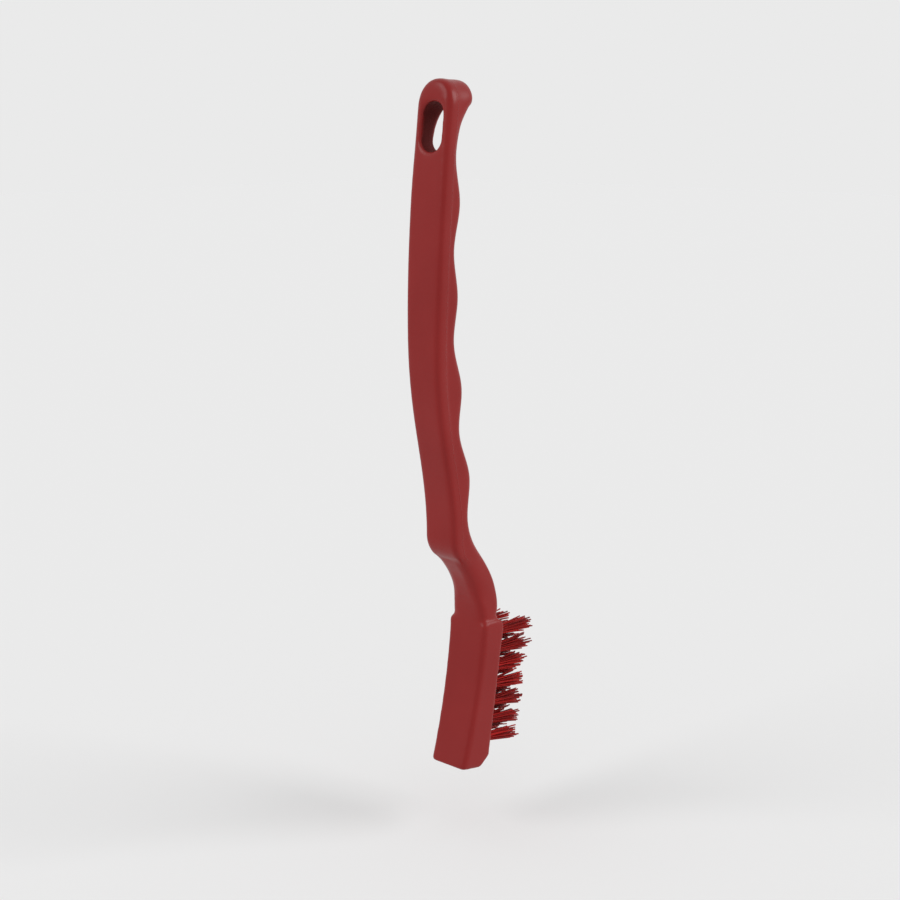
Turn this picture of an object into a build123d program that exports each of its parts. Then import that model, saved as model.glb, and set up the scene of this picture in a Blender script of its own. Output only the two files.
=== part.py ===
from build123d import *
import math
import os

# Crevice brush: one moulded handle with an offset narrow head, and tufts stapled into the head.
# Millimetres, +Z up along the handle, head at the bottom, bristles towards +X, back towards -X.
# Heights below are counted from the back corner of the nose. The whole brush is moved at the end,
# so that the origin is the middle of the hang slot.

overall_height = 230.0
overrun = 2.0
back_spans = 10

# Head: a narrow block that leans along its own axis, hollow along its back and thicker at the nose
head_length = 50.3
head_lean_degrees = 8.2
head_width_at_shoulder = 17.0
head_width_at_nose = 15.6
head_thickness = 9.7
nose_thickness = 13.0
nose_chamfer = 4.0
nose_setback = 0.6
thinnest_height_share = 0.76
head_back_edge_radius = 1.5
head_end_edge_radius = 1.0
head_front_edge_radius = 0.6

# Neck: carries the head forward of the handle
neck_width = 12.4
neck_offset = 13.4
neck_straight_share = 0.52
# pairs: share of the height from shoulder to heel, share of the offset
neck_back_shares = ((0.21, 0.05), (0.39, 0.18), (0.58, 0.415), (0.77, 0.735), (0.92, 0.86))
neck_front_shares = ((-0.24, -0.50), (0.05, -0.65), (0.21, -0.685), (0.37, -0.64), (0.55, -0.455),
                     (0.73, -0.16), (0.91, 0.17))

# Handle: bowed back with four finger waves below it.
# Shares without another note are of the way from the heel to the stop.
heel_height = 81.2
heel_radius = 10.0
heel_width = 13.9
heel_taper_radius = 45.0
heel_turn_share = 0.7
waist_share = 0.173
waist_width = 13.3
grip_share = 0.55
grip_width = 15.0
bow_share = 0.466
bow_depth = 8.1
bow_ease_share = 1.15
end_return = 6.2
end_ease_share = 1.7
first_crest_share = 0.1452
finger_pitch_share = 0.2073
crest_thicknesses = (11.1, 12.5, 10.4, 9.4)
trough_thicknesses = (8.0, 9.4, 9.3, 7.8, 6.5)
handle_back_edge_radius = 1.6
handle_front_edge_radius = 2.2

# Hang end: round, with a stop on the finger side
hang_end_width = 15.4
hang_end_thickness = 12.6
stop_drop = 5.5
# pairs: share of the rise from the last trough to the stop, share of the gain in thickness
stop_shares = ((0.30, 0.07), (0.54, 0.24), (0.70, 0.50), (0.84, 0.82), (1.0, 1.0))

# Parting line: the back shell stands a little proud of the finger side
shell_thickness = 4.0
core_cover = 1.5
parting_step = 0.35
parting_step_shares = (0.35, 0.35, 0.75, 1.0)

# Hang slot
slot_drop = 14.9
slot_width = 8.8
slot_length = 15.6
slot_corner_radius = 4.1
slot_rim_radius = 0.3

# Tufts: three staggered rows in blind holes, fanned towards the shoulder, each held by a flat anchor
tuft_pitch = 6.25
tufts_in_outer_row = 7
row_spacing = 5.0
first_tuft_drop = 2.9
tuft_diameter = 3.2
tuft_hole_depth = 6.8
tuft_clearance = 0.05
trim_at_shoulder = 17.0
trim_at_nose = 15.2
fan_at_shoulder_degrees = 6.0
tuft_collar = 0.3
strand_side = 0.36
strand_root = 0.8
strand_ring_radius = 0.6
strand_ring_counts = (1, 6, 13)
ring_twist_share = 0.4
spread_share = 0.7
trim_scatter = 0.6
scatter_share = 0.618
turn_step_degrees = 37.0

# Anchors
anchor_bite = 0.3
anchor_thickness = 0.3
anchor_height = 1.8
anchor_clearance = 0.03

lean = math.radians(head_lean_degrees)
lean_direction = (math.sin(lean), math.cos(lean))
head_frame = Plane(origin=(-nose_setback, 0, 0), x_dir=(math.cos(lean), 0, -math.sin(lean)),
                   z_dir=(math.sin(lean), 0, math.cos(lean)))
head_hollow = nose_thickness - head_thickness
thinnest_height = head_length * thinnest_height_share
head_back_radius = (head_hollow ** 2 + thinnest_height ** 2) / (2 * head_hollow)


def head_back(height):
    """Depth of the head's hollow back at a height along the head's own axis."""
    rise = height - thinnest_height
    return head_hollow - head_back_radius + math.sqrt(head_back_radius ** 2 - rise ** 2)


def head_point(depth, height):
    """Side view point (x, z) of a place given in the head's own depth and height."""
    place = head_frame.from_local_coords((depth, 0, height))
    return place.X, place.Z


shoulder_x, shoulder_z = head_point(head_back(head_length), head_length)
heel_x = shoulder_x - neck_offset
hang_radius = hang_end_width / 2
hang_centre_height = overall_height - hang_radius
stop_height = overall_height - stop_drop
slot_height = overall_height - slot_drop


def grip_height(share):
    """Height of a place on the handle, given as a share of the way from the heel to the stop."""
    return heel_height + share * (stop_height - heel_height)


bow_height = grip_height(bow_share)


def back_x(height):
    """The bowed back of the handle, from the heel up to the hang end."""
    if height < bow_height:
        share = (bow_height - height) / (bow_height - heel_height)
        return heel_x - bow_depth * (1 + math.cos(math.pi * share ** bow_ease_share)) / 2
    share = (height - bow_height) / (overall_height - bow_height)
    return heel_x - bow_depth + end_return * share ** end_ease_share


def from_side(lines):
    """Solid with the given closed side view outline (x, z), wider than the brush."""
    plane = Plane.XZ.offset(-hang_end_width)
    return extrude(plane * make_face(lines), amount=2 * hang_end_width)


def from_front(lines):
    """Solid with the given closed front view outline (y, z), deeper than the brush."""
    plane = Plane.YZ.offset(-overall_height)
    return extrude(plane * make_face(lines), amount=2 * overall_height)


def curved_edges(shapes):
    """The long outline edges of some faces or solids: all that are not straight."""
    edges = ShapeList(edge for shape in shapes for edge in shape.edges())
    return edges.filter_by(lambda edge: edge.geom_type != GeomType.LINE)


def back_slope(height):
    """Direction of the handle's back line, going up, at a height."""
    return (back_x(height + overrun) - back_x(height - overrun)) / 2, overrun


def back_line(inset):
    """Side view points of a line set in from the handle's back, from the heel up past the end."""
    top = overall_height + overrun
    heights = [heel_height + (top - heel_height) * index / back_spans for index in range(back_spans + 1)]
    return [(back_x(height) + inset, height) for height in heights]


def handle_sides(narrowing):
    """Half widths and heights of the handle above the heel, less a share of the parting step."""
    heights = (heel_height, grip_height(waist_share), grip_height(grip_share), hang_centre_height)
    widths = (heel_width, waist_width, grip_width, hang_end_width)
    return [(width / 2 - narrowing * parting_step * share, height)
            for width, height, share in zip(widths, heights, parting_step_shares)]


def side_edges(points):
    """The same smooth front view side on both sides of the brush, upright at its two ends."""
    return [Spline([(sign * half, height) for half, height in points], tangents=((0, 1), (0, 1)))
            for sign in (1, -1)]


def hang_end(half_width):
    """Front view half round over the hang end."""
    return CenterArc((0, hang_centre_height), half_width, 0, 180)


def heel_point(turn):
    """Side view point of the heel's round, a part of a quarter turn below where it starts."""
    angle = turn * math.pi / 2
    return heel_x + heel_radius * (1 - math.cos(angle)), heel_height - heel_radius * math.sin(angle)


def make_shell():
    """Back shell of the handle: the bowed back, the heel that rounds under, and the hang end."""
    outer = back_line(0)
    inner = back_line(shell_thickness)
    heel_foot = heel_point(heel_turn_share)
    heel_middle = heel_point(heel_turn_share / 2)
    side = from_side([
        Spline(outer, tangents=((0, 1), back_slope(outer[-1][1]))),
        Line(outer[-1], inner[-1]),
        Spline(inner),
        Line(inner[0], heel_foot),
        ThreePointArc(heel_foot, heel_middle, outer[0]),
    ])
    foot_height = heel_height - heel_radius
    foot_half = heel_width / 2 - heel_taper_radius + math.sqrt(heel_taper_radius ** 2 - heel_radius ** 2)
    lines = side_edges(handle_sides(0))
    lines.append(hang_end(hang_radius))
    lines.append(RadiusArc((foot_half, foot_height), (heel_width / 2, heel_height), -heel_taper_radius))
    lines.append(RadiusArc((-foot_half, foot_height), (-heel_width / 2, heel_height), heel_taper_radius))
    lines.append(Line((-foot_half, foot_height), (foot_half, foot_height)))
    shell = side & from_front(lines)
    back_face = shell.faces().sort_by(Axis.X)[0]
    heel_face = shell.faces().sort_by(Axis.Z)[0]
    return fillet(curved_edges([back_face, heel_face]), handle_back_edge_radius)


def neck_line(shares):
    """Side view points given as shares of the neck's height and offset from the shoulder."""
    rise = heel_height - shoulder_z
    return [(shoulder_x - across * neck_offset, shoulder_z + up * rise) for up, across in shares]


def finger_line():
    """Side view points of the finger waves and the rise to the stop, from the heel up."""
    points = []
    for index, thickness in enumerate(trough_thicknesses):
        height = grip_height(first_crest_share + (index - 0.5) * finger_pitch_share)
        points.append((back_x(height) + thickness, height))
        if index < len(crest_thicknesses):
            height = grip_height(first_crest_share + index * finger_pitch_share)
            points.append((back_x(height) + crest_thicknesses[index], height))
    gain = hang_end_thickness - thickness
    rise = stop_height - height
    for up, share in stop_shares:
        points.append((back_x(height + up * rise) + thickness + share * gain, height + up * rise))
    return points


def make_core():
    """Finger side of the handle and the neck in one: waves, stop, and the swing into the head."""
    inner = back_line(core_cover)
    top_x, top = inner[-1]
    front = neck_line(neck_front_shares) + finger_line()
    root_height = front[0][1]
    back = [(shoulder_x, root_height), (shoulder_x, shoulder_z)] + neck_line(neck_back_shares) + inner
    stop_end = (top_x - core_cover + hang_end_thickness, top)
    side = from_side([
        Line(back[0], front[0]),
        Spline(front, tangents=(lean_direction, back_slope(stop_height))),
        Polyline(front[-1], stop_end, inner[-1]),
        Spline(back),
    ])
    neck_half = neck_width / 2
    straight_height = shoulder_z + neck_straight_share * (heel_height - shoulder_z)
    lines = side_edges([(neck_half, straight_height)] + handle_sides(1))
    lines.append(hang_end(handle_sides(1)[-1][0]))
    lines.append(Polyline((neck_half, straight_height), (neck_half, root_height),
                          (-neck_half, root_height), (-neck_half, straight_height)))
    core = side & from_front(lines)
    return fillet(curved_edges([core]), handle_front_edge_radius)


def long_edges(face):
    """The edges of one of the head's faces that run along the head."""
    return face.edges().filter_by(lambda edge: edge.length > head_length / 2)


def make_head():
    """Head block in its own axes: hollow back, straight bristle face, chamfered nose, tapered sides."""
    back_middle = head_back(head_length / 2), head_length / 2
    back_top = head_back(head_length), head_length
    side = from_side([
        ThreePointArc((0, 0), back_middle, back_top),
        Polyline(back_top, (nose_thickness, head_length), (nose_thickness, nose_chamfer),
                 (nose_thickness - nose_chamfer, 0), (0, 0)),
    ])
    nose_half = head_width_at_nose / 2
    shoulder_half = head_width_at_shoulder / 2
    taper = from_front(Polyline((-nose_half, 0), (nose_half, 0), (shoulder_half, head_length),
                                (-shoulder_half, head_length), close=True))
    head = side & taper
    back_face = head.faces().filter_by(GeomType.CYLINDER)[0]
    head = fillet(long_edges(back_face), head_back_edge_radius)
    bristle_face = head.faces().sort_by(Axis.X)[-1]
    head = fillet(long_edges(bristle_face), head_front_edge_radius)
    ends = head.faces().filter_by(Axis.Z)
    head = fillet([edge for face in ends for edge in face.edges()], head_end_edge_radius)
    return head_frame * head


def make_slot():
    """Tool for the hang slot, through the handle from back to front."""
    outline = Pos(0, slot_height) * RectangleRounded(slot_width, slot_length, slot_corner_radius)
    plane = Plane.YZ.offset(-overall_height)
    return extrude(plane * outline, amount=2 * overall_height)


def tuft_places():
    """Name, share of the way to the nose, and place of every tuft on the bristle face."""
    places = []
    rows = (("left", row_spacing, 0), ("middle", 0, 1), ("right", -row_spacing, 0))
    last = tufts_in_outer_row - 1
    for row, across, stagger in rows:
        for index in range(tufts_in_outer_row - stagger):
            step = index + stagger / 2
            height = head_length - first_tuft_drop - step * tuft_pitch
            fan = fan_at_shoulder_degrees * (1 - step / last)
            place = head_frame * Pos(nose_thickness, across, height) * Rot(0, 90 - fan, 0)
            places.append((f"tuft_{row}_{index + 1}", step / last, place))
    return places


def bar(width, length, bottom, top):
    """Upright flat bar between two heights, its length across the head."""
    return Pos(0, 0, (bottom + top) / 2) * Box(width, length, top - bottom)


def make_anchor():
    """Flat anchor at the bottom of a hole, biting into the wall on both sides."""
    bottom = anchor_clearance - tuft_hole_depth
    return bar(anchor_thickness, tuft_diameter + 2 * anchor_bite, bottom, bottom + anchor_height)


def make_tuft_hole():
    """Tool for one hole, with the two slits that its anchor cuts on the way in."""
    depth = tuft_hole_depth + overrun
    hole = Pos(0, 0, overrun - depth / 2) * Cylinder(tuft_diameter / 2, depth)
    slit_width = anchor_thickness + 2 * anchor_clearance
    slit_length = tuft_diameter + 2 * (anchor_bite + anchor_clearance)
    return hole + bar(slit_width, slit_length, -tuft_hole_depth, overrun)


def make_strands(trim):
    """Four-sided strands in rings, fanned out a little, with uneven tips below the trim height."""
    strands = []
    for ring, count in enumerate(strand_ring_counts):
        for index in range(count):
            angle = 2 * math.pi * (index + ring * ring_twist_share) / count
            x = ring * strand_ring_radius * math.cos(angle)
            y = ring * strand_ring_radius * math.sin(angle)
            short = trim_scatter * (len(strands) * scatter_share % 1)
            foot = Vector(x, y, tuft_collar - strand_root)
            run = Vector(x * (1 + spread_share), y * (1 + spread_share), trim - short) - foot
            section = Pos(foot) * Rot(0, 0, math.degrees(angle)) * Rectangle(strand_side, strand_side)
            strands.append(extrude(section, amount=run.length, dir=run))
    return strands


def make_tuft(trim, turn_degrees):
    """One tuft: strands fused into the folded root that fills its hole, open where the anchor sits."""
    length = tuft_hole_depth - tuft_clearance + tuft_collar
    root = Pos(0, 0, tuft_collar - length / 2) * Cylinder(tuft_diameter / 2 - tuft_clearance, length)
    tuft = Rot(0, 0, turn_degrees) * (root + make_strands(trim))
    fold_width = anchor_thickness + 2 * anchor_clearance
    fold_top = anchor_height + 2 * anchor_clearance - tuft_hole_depth
    return tuft - bar(fold_width, tuft_diameter, -tuft_hole_depth, fold_top)


def make_handle():
    """The whole moulding: shell, finger side with neck, head, hang slot and tuft holes."""
    handle = make_shell() + make_core() + make_head() - make_slot()
    reach_y = slot_width / 2 + slot_rim_radius
    reach_z = slot_length / 2 + slot_rim_radius
    rims = handle.edges().filter_by(Axis.X, reverse=True).filter_by(
        lambda edge: abs(edge.center().Y) < reach_y and abs(edge.center().Z - slot_height) < reach_z)
    handle = fillet(rims, slot_rim_radius)
    hole = make_tuft_hole()
    return handle - [place * hole for _, _, place in tuft_places()]


os.makedirs("parts", exist_ok=True)
to_slot = Pos(-back_x(slot_height) - shell_thickness, 0, -slot_height)
export_step(to_slot * make_handle(), "parts/handle.step")

anchors = []
for index, (name, share, place) in enumerate(tuft_places()):
    trim = trim_at_shoulder + share * (trim_at_nose - trim_at_shoulder)
    tuft = make_tuft(trim, index * turn_step_degrees)
    export_step(to_slot * place * tuft, f"parts/{name}.step")
    anchors.append(to_slot * place * make_anchor())
export_step(Compound(children=anchors), "parts/tuft_anchors.step")
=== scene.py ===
import math
import random

import bmesh
import bpy
from mathutils import Matrix, Vector


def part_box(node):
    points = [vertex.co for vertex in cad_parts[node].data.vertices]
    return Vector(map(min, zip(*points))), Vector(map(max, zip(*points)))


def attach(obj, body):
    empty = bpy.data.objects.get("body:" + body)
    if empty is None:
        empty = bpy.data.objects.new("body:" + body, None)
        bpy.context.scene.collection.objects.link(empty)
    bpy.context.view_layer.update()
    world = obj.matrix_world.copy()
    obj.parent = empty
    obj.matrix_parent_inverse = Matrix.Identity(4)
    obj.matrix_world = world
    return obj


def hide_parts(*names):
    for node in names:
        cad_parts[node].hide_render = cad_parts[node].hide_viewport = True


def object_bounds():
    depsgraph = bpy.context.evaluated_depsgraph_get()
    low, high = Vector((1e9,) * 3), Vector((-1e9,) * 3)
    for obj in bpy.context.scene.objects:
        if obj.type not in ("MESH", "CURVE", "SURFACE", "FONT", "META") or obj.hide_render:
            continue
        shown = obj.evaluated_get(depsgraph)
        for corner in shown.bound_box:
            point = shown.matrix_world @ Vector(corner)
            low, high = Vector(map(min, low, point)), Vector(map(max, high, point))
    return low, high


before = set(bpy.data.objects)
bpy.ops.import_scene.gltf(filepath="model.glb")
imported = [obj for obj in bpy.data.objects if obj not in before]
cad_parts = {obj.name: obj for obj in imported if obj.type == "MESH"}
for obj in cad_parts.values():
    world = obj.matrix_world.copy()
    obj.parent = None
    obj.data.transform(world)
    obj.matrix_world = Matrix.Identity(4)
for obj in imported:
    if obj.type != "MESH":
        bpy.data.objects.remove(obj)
cad_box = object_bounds()
mm = 0.001

# Camera: place and direction in the brush's own frame, at about the height of the hang slot
camera_place = Vector((-379.2, -370.8, 5.1)) * mm
camera_heading = math.radians(44.0)
camera_dip = math.radians(11.64)
camera_lens = 66.0
camera_sensor = 36.0
camera_nearest = 10.0 * mm

# Studio: the floor lies a little below the nose, and its colour is the backdrop's
nose_clearance = 22.0 * mm
floor_size = 8.0
backdrop_colour = (0.823, 0.823, 0.823, 1.0)
ambient_colour = (1.0, 1.0, 1.0, 1.0)
ambient_strength = 0.61

# Lamps: degrees to the left of the camera's heading, degrees up, degrees of spread, and strength
left_light = (112.0, 32.0, 36.0, 1.0)
right_light = (-97.0, 28.0, 36.0, 1.5)

# Moulding: a copy of the CAD handle in even quads, smoothed most where the real one is roundest
weld_distance = 0.001 * mm
skin_voxel = 0.42 * mm
smoothing_share = 0.5
settling_passes = 8
hole_rim_passes = 2
hole_rim_reach = 2.7 * mm

# Hang end: rounder all over, but less so round the slot, whose outline stays
hang_end_passes = 44
hang_end_start = -24.0 * mm
hang_end_full = 2.0 * mm
slot_half_width = 4.4 * mm
slot_half_length = 7.8 * mm
slot_end_radius = 4.1 * mm
slot_border = 0.9 * mm
slot_passes = 16
crown_height = 9.0 * mm

# Neck: rounder long edges, apart from those on the bristle side
neck_edge_passes = 110
neck_edge_inner = 1.5 * mm
neck_edge_outer = 4.5 * mm
neck_edge_top = -140.5 * mm
neck_edge_full = -144.0 * mm
neck_edge_low = -151.0 * mm
neck_edge_bottom = -160.0 * mm
bristle_side_facing = 0.5

# Shoulder: lifted, most of all at the front, under a neck that flares towards it
shoulder_passes = 22
shoulder_height = -165.5 * mm
shoulder_reach = 3.2 * mm
shoulder_back = 13.0 * mm
shoulder_depth = 9.0 * mm
shoulder_lift = 0.9 * mm
shoulder_tilt = 0.8 * mm
lift_bottom = -168.6 * mm
lift_full = -166.9 * mm
neck_half_width = 6.2 * mm
head_half_width = 8.5 * mm
neck_flare = 1.15 * mm
flare_top = -153.0 * mm

# Parting line: along the grip and the hang end, at one depth in from the back
seam_depth = 4.0 * mm
seam_end = -142.0 * mm

# Moulded plastic: noise in grains to the millimetre, ranges in millimetres or as shares
deep_red = (0.226, 0.0100, 0.0091, 1.0)
light_red = (0.244, 0.0122, 0.0111, 1.0)
# Painted shade: a darker red for the hang slot's walls, standing in for the shade inside the slot
painted_slot_shade = (0.085, 0.0032, 0.0026, 1.0)
cloud_grains = 0.045
cloud_range = (0.3, 0.7)
mould_grains = 3.2
ripple_grains = 0.55
rub_grains = 0.21
rub_stretch = (1.0, 1.0, 0.3)
rub_range = (0.42, 0.68)
slot_range = (0.0, 0.22)
parting_range = (0.05, 0.22)
parting_fade = 2
plastic_roughness = 0.29
rub_roughness = 0.06
grain_roughness = 0.04
slot_roughness = 0.5
grain_relief = 0.35
ripple_relief = 0.65
parting_relief = 2.5
plastic_relief = 0.02 * mm

# Filaments: a round bundle that fills the tuft's hole and opens a little above it
filament_diameter = 0.48 * mm
filament_pitch = 0.45 * mm
filament_rings = 3
filament_sides = 6
hole_depth = 6.75 * mm
root_length = 6.2 * mm
bend_shares = (0.0, 0.35, 0.7, 1.0)
splay = 0.62
lean_scatter = 0.46 * mm
lean_growth = 1.1
bow_scatter = 0.08 * mm
trim_scatter = 0.5 * mm
edge_shortening = 5.4 * mm
edge_growth = 1.5
tip_rounding = 0.06 * mm
tip_share = 0.6
axis_rounds = 3
axis_end_reach = hole_depth / 4

# Filament plastic: drawn lines in grains to the millimetre, the frosted cut end as a share of the length
dark_strand = (0.10, 0.0030, 0.0028, 1.0)
bright_strand = (0.42, 0.0130, 0.0115, 1.0)
frosted_end = (0.34, 0.03, 0.028, 1.0)
drawn_stretch = (0.25, 3.0, 3.0)
drawn_grains = 1.4
drawn_share = 0.2
frosted_range = (0.985, 1.0)
frosted_share = 0.5
filament_roughness = 0.34
drawn_roughness = 0.12
filament_relief = 0.01 * mm

# Stamped strip: fine lines along it
dull_metal = (0.52, 0.51, 0.49, 1.0)
bright_metal = (0.66, 0.65, 0.63, 1.0)
rolling_stretch = (6.0, 0.4, 6.0)
rolling_grains = 2.0
strip_roughness = 0.28
rolling_roughness = 0.16
strip_relief = 0.004 * mm


class Value:
    """A socket in a node tree. Arithmetic on it adds Math nodes."""

    def __init__(self, tree, socket):
        self.tree = tree
        self.socket = socket

    def __add__(self, other):
        return self.tree.math("ADD", self, other)

    def __sub__(self, other):
        return self.tree.math("SUBTRACT", self, other)

    def __rsub__(self, other):
        return self.tree.math("SUBTRACT", other, self)

    def __mul__(self, other):
        return self.tree.math("MULTIPLY", self, other)

    __radd__ = __add__
    __rmul__ = __mul__


class Tree:
    """The node tree of a material or of the world."""

    def __init__(self, owner):
        owner.use_nodes = True
        self.nodes = owner.node_tree.nodes
        self.links = owner.node_tree.links

    def node(self, kind, settings, sockets, output=0):
        """Adds a node: its type, its settings, the values or links of its sockets, and the output used."""
        node = self.nodes.new("ShaderNode" + kind)
        for name, value in settings.items():
            setattr(node, name, value)
        for name, value in sockets.items():
            self.feed(node.inputs[name], value)
        return Value(self, node.outputs[output])

    def feed(self, socket, value):
        if isinstance(value, Value):
            self.links.new(value.socket, socket)
        else:
            socket.default_value = value

    def math(self, operation, first, second):
        return self.node("Math", {"operation": operation}, {0: first, 1: second})


class Finish(Tree):
    """A node material. Its shader's own sockets hold what is the same all over."""

    def __init__(self, name, **constants):
        self.material = bpy.data.materials.new(name)
        super().__init__(self.material)
        self.shader = self.nodes["Principled BSDF"]
        for socket, value in constants.items():
            self.set(socket.replace("_", " "), value)

    def set(self, socket, value):
        self.feed(self.shader.inputs[socket], value)

    def limited(self, value, low, high):
        """Where a value runs from low to high, eased from 0 to 1 and held beyond."""
        settings = {"interpolation_type": "SMOOTHSTEP"}
        return self.node("MapRange", settings, {"Value": value, "From Min": low, "From Max": high})

    def mixed(self, share, first, second):
        """One colour turning into another."""
        return self.node("Mix", {"data_type": "RGBA"}, {0: share, 6: first, 7: second}, 2)

    def place(self, stretch=(1.0, 1.0, 1.0)):
        """Object coordinates in millimetres, stretched along an axis if asked."""
        coordinates = self.node("TexCoord", {}, {}, "Object")
        return self.node("Mapping", {}, {"Vector": coordinates, "Scale": [share / mm for share in stretch]})

    def noise(self, place, per_mm, detail=2.0, roughness=0.5):
        """Noise from 0 to 1 with so many grains to the millimetre."""
        sockets = {"Vector": place, "Scale": per_mm, "Detail": detail, "Roughness": roughness}
        return self.node("TexNoise", {}, sockets, "Fac")

    def attribute(self, name):
        """A number that the mesh keeps at each of its points."""
        return self.node("Attribute", {"attribute_name": name}, {}, "Fac")

    def relief(self, height, depth):
        """Feeds a height from 0 to 1, as deep as given, to the shader's normal."""
        sockets = {"Height": height, "Distance": depth, "Strength": 1.0}
        self.set("Normal", self.node("Bump", {}, sockets))


def moulded_plastic():
    """Satin red moulding: fine mould grain, faint flow clouds, a parting line, and painted shade with a
    duller finish in the hang slot.
    """
    finish = Finish("moulded_plastic", Specular_IOR_Level=0.22)
    place = finish.place()
    clouds = finish.noise(place, cloud_grains, detail=3.0)
    grain = finish.noise(place, mould_grains, roughness=0.6)
    ripple = finish.noise(place, ripple_grains, detail=1.0)
    rubbed = finish.limited(finish.noise(finish.place(rub_stretch), rub_grains, detail=4.0), *rub_range)
    # Mask of the hang slot's walls: painted shade in the colour, and a duller finish in the roughness
    slot_shade_and_dullness = 1 - finish.limited(finish.attribute("slot"), *slot_range)
    seam = finish.math("ABSOLUTE", finish.attribute("seam"), 0.0)
    height = finish.node("SeparateXYZ", {}, {"Vector": place}, "Z")
    above_heel = finish.limited(height, seam_end / mm - parting_fade, seam_end / mm + parting_fade)
    parting = (1 - finish.limited(seam, *parting_range)) * above_heel
    colour = finish.mixed(finish.limited(clouds, *cloud_range), deep_red, light_red)
    # Painted shade: the slot's walls turn a darker red
    finish.set("Base Color", finish.mixed(slot_shade_and_dullness, colour, painted_slot_shade))
    dullness = plastic_roughness + rubbed * rub_roughness + grain * grain_roughness
    finish.set("Roughness", dullness + slot_shade_and_dullness * slot_roughness)
    finish.relief(grain * grain_relief + ripple * ripple_relief + parting * parting_relief, plastic_relief)
    return finish.material


def filament_plastic():
    """Drawn filament: each strand a little lighter or darker, with a frosted cut end."""
    finish = Finish("filament_plastic", Specular_IOR_Level=0.06)
    drawn = finish.noise(finish.place(drawn_stretch), drawn_grains)
    shade = finish.attribute("tone") * (1 - drawn_share) + drawn * drawn_share
    at_end = finish.limited(finish.attribute("along"), *frosted_range)
    body = finish.mixed(shade, dark_strand, bright_strand)
    finish.set("Base Color", finish.mixed(at_end * frosted_share, body, frosted_end))
    finish.set("Roughness", filament_roughness + drawn * drawn_roughness)
    finish.relief(drawn, filament_relief)
    return finish.material


def stamped_strip():
    """Rolled metal strip with fine lines along it."""
    finish = Finish("stamped_strip", Metallic=1.0)
    lines = finish.noise(finish.place(rolling_stretch), rolling_grains, detail=3.0)
    finish.set("Base Color", finish.mixed(lines, dull_metal, bright_metal))
    finish.set("Roughness", strip_roughness + lines * rolling_roughness)
    finish.relief(lines, strip_relief)
    return finish.material


def eased(value, low, high):
    """0 below low, 1 above high and a smooth rise between."""
    share = min(1.0, max(0.0, (value - low) / (high - low)))
    return share * share * (3 - 2 * share)


def near_hole(place, holes):
    """Whether a point lies in or round the mouth of a tuft hole."""
    for root, towards in holes:
        away = place - root
        if (away - towards * away.dot(towards)).length < hole_rim_reach:
            return True
    return False


def smoothing_wanted(place, normal, holes):
    """How many rounds of smoothing the moulding gets at a place: most round the hang end and the neck."""
    if place.z < lift_bottom + hole_rim_reach and near_hole(place, holes):
        return hole_rim_passes
    hang_end = hang_end_passes * eased(place.z, hang_end_start, hang_end_full)
    beside_slot = max(abs(place.y) - slot_half_width, abs(place.z) - slot_half_length)
    if hang_end > slot_passes:
        hang_end = slot_passes + (hang_end - slot_passes) * eased(beside_slot, slot_border, 2 * slot_border)
    along_neck = eased(-place.z, -neck_edge_top, -neck_edge_full)
    beside_middle = eased(abs(place.y), neck_edge_inner, neck_edge_outer)
    at_edge = beside_middle * (1 - eased(normal.x, 0, bristle_side_facing))
    above_root = eased(place.z, neck_edge_bottom, neck_edge_low)
    neck = neck_edge_passes * along_neck * at_edge * above_root
    shoulder = shoulder_passes * (1 - eased(abs(place.z - shoulder_height), 0, shoulder_reach))
    return settling_passes + max(hang_end, neck, shoulder)


def shoulder_place(place):
    """Where a point of the CAD shoulder goes: the real one is a little higher, under a flared neck."""
    low = eased(place.z, lift_bottom, lift_full)
    high = 1 - eased(place.z, shoulder_height, flare_top)
    forward = eased(place.x, shoulder_back, shoulder_back + shoulder_depth)
    beside = abs(place.y)
    side = min(beside / neck_half_width, (head_half_width - beside) / (head_half_width - neck_half_width))
    outward = math.copysign(neck_flare * low * high * max(0, side), place.y)
    return place + Vector((0, outward, (shoulder_lift + shoulder_tilt * forward) * low * high))


def even_quads(piece):
    """A piece's surface in even quads."""
    remesh = piece.modifiers.new("even_quads", "REMESH")
    remesh.mode = "VOXEL"
    remesh.voxel_size = skin_voxel
    remesh.use_smooth_shade = True
    depsgraph = bpy.context.evaluated_depsgraph_get()
    even = bpy.data.meshes.new_from_object(piece.evaluated_get(depsgraph))
    piece.modifiers.clear()
    mesh = bmesh.new()
    mesh.from_mesh(even)
    return mesh


def soften(mesh, holes):
    """Moves the shoulder to its place, and smooths each point as many times as is wanted there."""
    wanted = [smoothing_wanted(vertex.co, vertex.normal, holes) for vertex in mesh.verts]
    for vertex in mesh.verts:
        vertex.co = shoulder_place(vertex.co)
    for step in range(math.ceil(max(wanted))):
        chosen = [vertex for vertex, passes in zip(mesh.verts, wanted) if passes > step]
        bmesh.ops.smooth_vert(mesh, verts=chosen, factor=smoothing_share,
                              use_axis_x=True, use_axis_y=True, use_axis_z=True)


def back_line(mesh):
    """Furthest back point of the moulding at each millimetre of height."""
    line = {}
    for vertex in mesh.verts:
        level = round(vertex.co.z / mm)
        line[level] = min(line.get(level, vertex.co.x), vertex.co.x)
    return line


def raise_crown(mesh, height):
    """Gives the smoothed hang end its full height again."""
    top = max(vertex.co.z for vertex in mesh.verts)
    for vertex in mesh.verts:
        vertex.co.z += (height - top) * eased(vertex.co.z, crown_height, top)


def slot_distance(place):
    """How far a point lies outside the hang slot's outline, in millimetres."""
    beside = max(0, abs(place.y) - slot_half_width + slot_end_radius)
    beyond = max(0, abs(place.z) - slot_half_length + slot_end_radius)
    return (math.hypot(beside, beyond) - slot_end_radius) / mm


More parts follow.
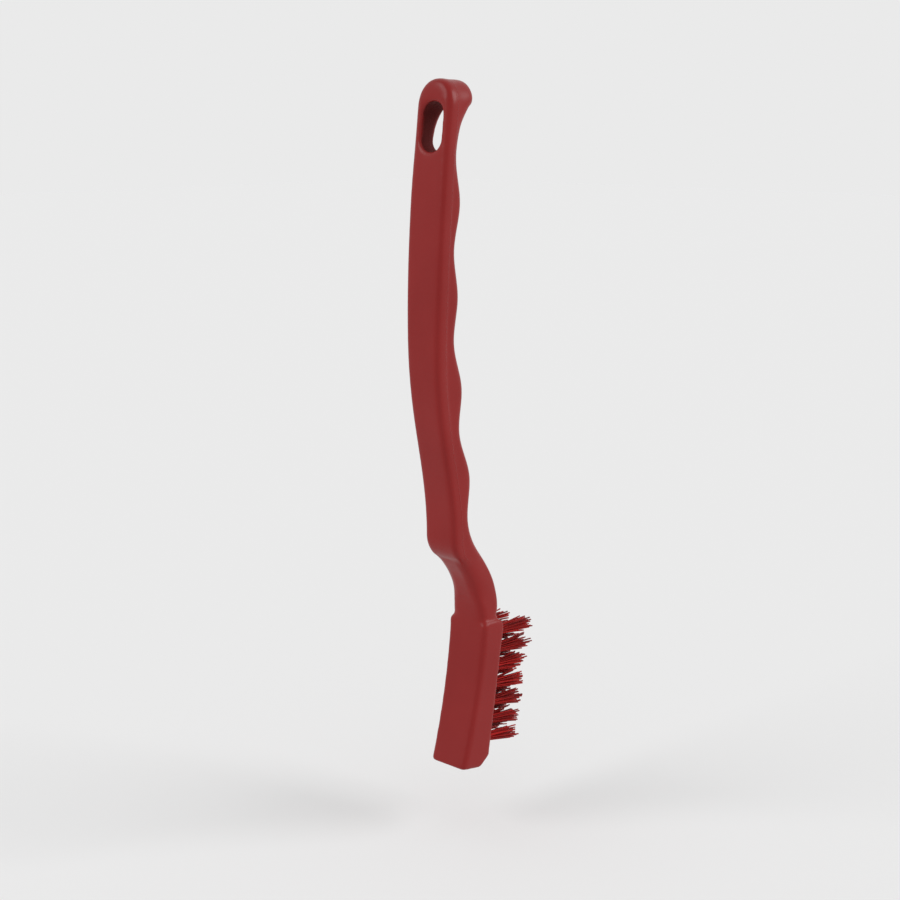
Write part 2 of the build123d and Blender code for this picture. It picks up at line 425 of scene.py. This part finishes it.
def mark_lines(mesh, back):
    """Keeps at each point its distances from the parting line and from the slot, in millimetres."""
    seam = mesh.verts.layers.float.new("seam")
    slot = mesh.verts.layers.float.new("slot")
    lowest, highest = min(back), max(back)
    for vertex in mesh.verts:
        level = max(lowest, min(highest, round(vertex.co.z / mm)))
        vertex[seam] = (vertex.co.x - back[level] - seam_depth) / mm
        vertex[slot] = slot_distance(vertex.co)


def make_moulding(node, holes, finish):
    """The handle's moulding with its real, softer edges, in the place of the CAD handle."""
    copy = bmesh.new()
    copy.from_mesh(node.data)
    bmesh.ops.remove_doubles(copy, verts=copy.verts, dist=weld_distance)
    piece = add_piece("moulding", copy, finish)
    mesh = even_quads(piece)
    soften(mesh, holes)
    back = back_line(mesh)
    raise_crown(mesh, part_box(node.name)[1].z)
    mark_lines(mesh, back)
    mesh.to_mesh(piece.data)
    mesh.free()
    piece.data.shade_smooth()
    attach(piece, "root")
    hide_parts(node.name)


def mean_of(points):
    points = list(points)
    return sum(points, Vector()) / len(points)


def tuft_axis(node):
    """Middle of a tuft's folded root, the way it stands and its whole length, from its CAD solid."""
    corners = [vertex.co for vertex in node.data.vertices]
    towards = Vector((1, 0, 0))
    for _ in range(axis_rounds):
        heights = [towards.dot(corner) for corner in corners]
        bottom, top = min(heights), max(heights)
        root = mean_of(corner for corner, height in zip(corners, heights) if height < bottom + axis_end_reach)
        tips = mean_of(corner for corner, height in zip(corners, heights) if height > top - axis_end_reach)
        towards = (tips - root).normalized()
    heights = [towards.dot(corner - root) for corner in corners]
    return root + towards * min(heights), towards, max(heights) - min(heights)


def bundle_places():
    """Places of the filaments across the hole: one in the middle and rings of six, twelve and eighteen."""
    places = [Vector((0, 0, 0))]
    for ring in range(1, filament_rings + 1):
        for index in range(6 * ring):
            turn = Matrix.Rotation(2 * math.pi * index / (6 * ring), 3, "Z")
            places.append(turn @ Vector((ring * filament_pitch, 0, 0)))
    return places


def scattered(rng, spread):
    """A chance step across the bundle."""
    return Vector((rng.gauss(0, 1), rng.gauss(0, 1), 0)) * spread


def drawn_out(mesh, face, step):
    """Draws a filament's end face out by a step. Gives the new end face."""
    face = bmesh.ops.extrude_discrete_faces(mesh, faces=[face])["faces"][0]
    bmesh.ops.translate(mesh, verts=face.verts, vec=step)
    return face


def add_filament(mesh, place, length, rng):
    """One filament from deep in the hole: straight to the mouth, then leaning and bowing outwards."""
    tone = mesh.verts.layers.float["tone"]
    along = mesh.verts.layers.float["along"]
    shade = rng.random()
    drift = place * splay + scattered(rng, lean_scatter)
    bow = scattered(rng, bow_scatter)
    turn = Matrix.Rotation(rng.uniform(0, math.pi), 4, "Z")
    before = place - Vector((0, 0, root_length))
    ring = bmesh.ops.create_circle(mesh, cap_ends=True, segments=filament_sides, radius=filament_diameter / 2,
                                   matrix=Matrix.Translation(before) @ turn)["verts"]
    face = ring[0].link_faces[0]
    made = list(ring)
    for share in bend_shares:
        ahead = Vector((0, 0, length * share))
        here = place + drift * share ** lean_growth + bow * (4 * share * (1 - share)) + ahead
        face = drawn_out(mesh, face, here - before)
        for vertex in face.verts:
            vertex[along] = share
        made += face.verts
        before = here
    face = drawn_out(mesh, face, Vector((0, 0, tip_rounding)))
    middle = Matrix.Translation(-face.calc_center_median())
    bmesh.ops.scale(mesh, verts=face.verts, vec=Vector((tip_share, tip_share, 1)), space=middle)
    for vertex in face.verts:
        vertex[along] = 1.0
    made += face.verts
    for vertex in made:
        vertex[tone] = shade


def make_tuft(name, node, finish, rng):
    """A fuller tuft in the place of a CAD tuft."""
    root, towards, whole = tuft_axis(node)
    mesh = bmesh.new()
    mesh.verts.layers.float.new("tone")
    mesh.verts.layers.float.new("along")
    for place in bundle_places():
        outer = place.length / (filament_rings * filament_pitch)
        short = abs(rng.gauss(0, 1)) * trim_scatter + rng.random() * outer ** edge_growth * edge_shortening
        add_filament(mesh, place, whole - hole_depth - tip_rounding - short, rng)
    bmesh.ops.recalc_face_normals(mesh, faces=mesh.faces)
    mouth = Matrix.Translation(root + towards * hole_depth)
    turn = towards.to_track_quat("Z", "Y").to_matrix().to_4x4()
    bmesh.ops.transform(mesh, verts=mesh.verts, matrix=mouth @ turn)
    tuft = add_piece(name, mesh, finish)
    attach(tuft, "root")
    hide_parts(node.name)


def add_piece(name, mesh, finish):
    """Turns finished mesh code into a smooth shaded piece."""
    data = bpy.data.meshes.new(name)
    mesh.to_mesh(data)
    mesh.free()
    data.shade_smooth()
    data.materials.append(finish)
    piece = bpy.data.objects.new(name, data)
    bpy.context.scene.collection.objects.link(piece)
    return piece


def dress(node, finish):
    """Gives a CAD node its finish."""
    node.data.materials.clear()
    node.data.materials.append(finish)


def add_sun(name, side_degrees, height_degrees, spread_degrees, strength):
    """A broad far lamp, as a big softbox: how far to the left of the camera's heading, and how high."""
    lamp = bpy.data.lights.new(name, "SUN")
    lamp.angle = math.radians(spread_degrees)
    lamp.energy = strength
    turn, rise = camera_heading + math.radians(side_degrees), math.radians(height_degrees)
    towards = Vector((math.cos(turn) * math.cos(rise), math.sin(turn) * math.cos(rise), math.sin(rise)))
    stand = bpy.data.objects.new(name, lamp)
    stand.rotation_euler = towards.to_track_quat("Z", "Y").to_euler()
    bpy.context.scene.collection.objects.link(stand)


def add_camera():
    """The camera, level, turned and dipped as in the photograph."""
    data = bpy.data.cameras.new("camera")
    data.lens = camera_lens
    data.sensor_width = camera_sensor
    data.clip_start = camera_nearest
    camera = bpy.data.objects.new("camera", data)
    camera.location = camera_place
    flat = Vector((math.cos(camera_heading), math.sin(camera_heading), 0))
    ahead = flat * math.cos(camera_dip) - Vector((0, 0, math.sin(camera_dip)))
    camera.rotation_euler = ahead.to_track_quat("-Z", "Y").to_euler()
    bpy.context.scene.collection.objects.link(camera)
    bpy.context.scene.camera = camera


def add_floor(height):
    """Pale floor, which takes the brush's soft shadow."""
    mesh = bmesh.new()
    bmesh.ops.create_grid(mesh, x_segments=1, y_segments=1, size=floor_size / 2,
                          matrix=Matrix.Translation((0, 0, height)))
    finish = Finish("pale_floor", Roughness=0.9, Specular_IOR_Level=0.0)
    finish.set("Base Color", backdrop_colour)
    floor = add_piece("floor", mesh, finish.material)


def light_world():
    """Even light from all round. The camera, mirrors and glass see the pale backdrop."""
    world = bpy.data.worlds.new("studio")
    bpy.context.scene.world = world
    tree = Tree(world)
    backdrop = tree.nodes["Background"]
    tree.feed(backdrop.inputs["Color"], backdrop_colour)
    around = tree.node("Background", {}, {"Color": ambient_colour, "Strength": ambient_strength})
    by_camera, by_gloss, by_glass = [
        tree.node("LightPath", {}, {}, f"Is {kind} Ray") for kind in ("Camera", "Glossy", "Transmission")]
    seen = tree.math("MAXIMUM", tree.math("MAXIMUM", by_camera, by_gloss), by_glass)
    light = tree.node("MixShader", {}, {0: seen, 1: around, 2: Value(tree, backdrop.outputs[0])})
    tree.feed(tree.nodes["World Output"].inputs["Surface"], light)


handle_finish = moulded_plastic()
bristle_finish = filament_plastic()
anchor_finish = stamped_strip()
tufts = [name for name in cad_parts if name.startswith("tuft_") and name != "tuft_anchors"]
holes = [tuft_axis(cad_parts[name])[:2] for name in tufts]
make_moulding(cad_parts["handle"], holes, handle_finish)
for name in tufts:
    make_tuft(name.replace("tuft", "bristles"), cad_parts[name], bristle_finish, random.Random(name))
dress(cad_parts["tuft_anchors"], anchor_finish)

add_floor(cad_box[0].z - nose_clearance)
add_camera()
light_world()
add_sun("left_light", *left_light)
add_sun("right_light", *right_light)
bpy.context.scene.view_settings.view_transform = "Standard"
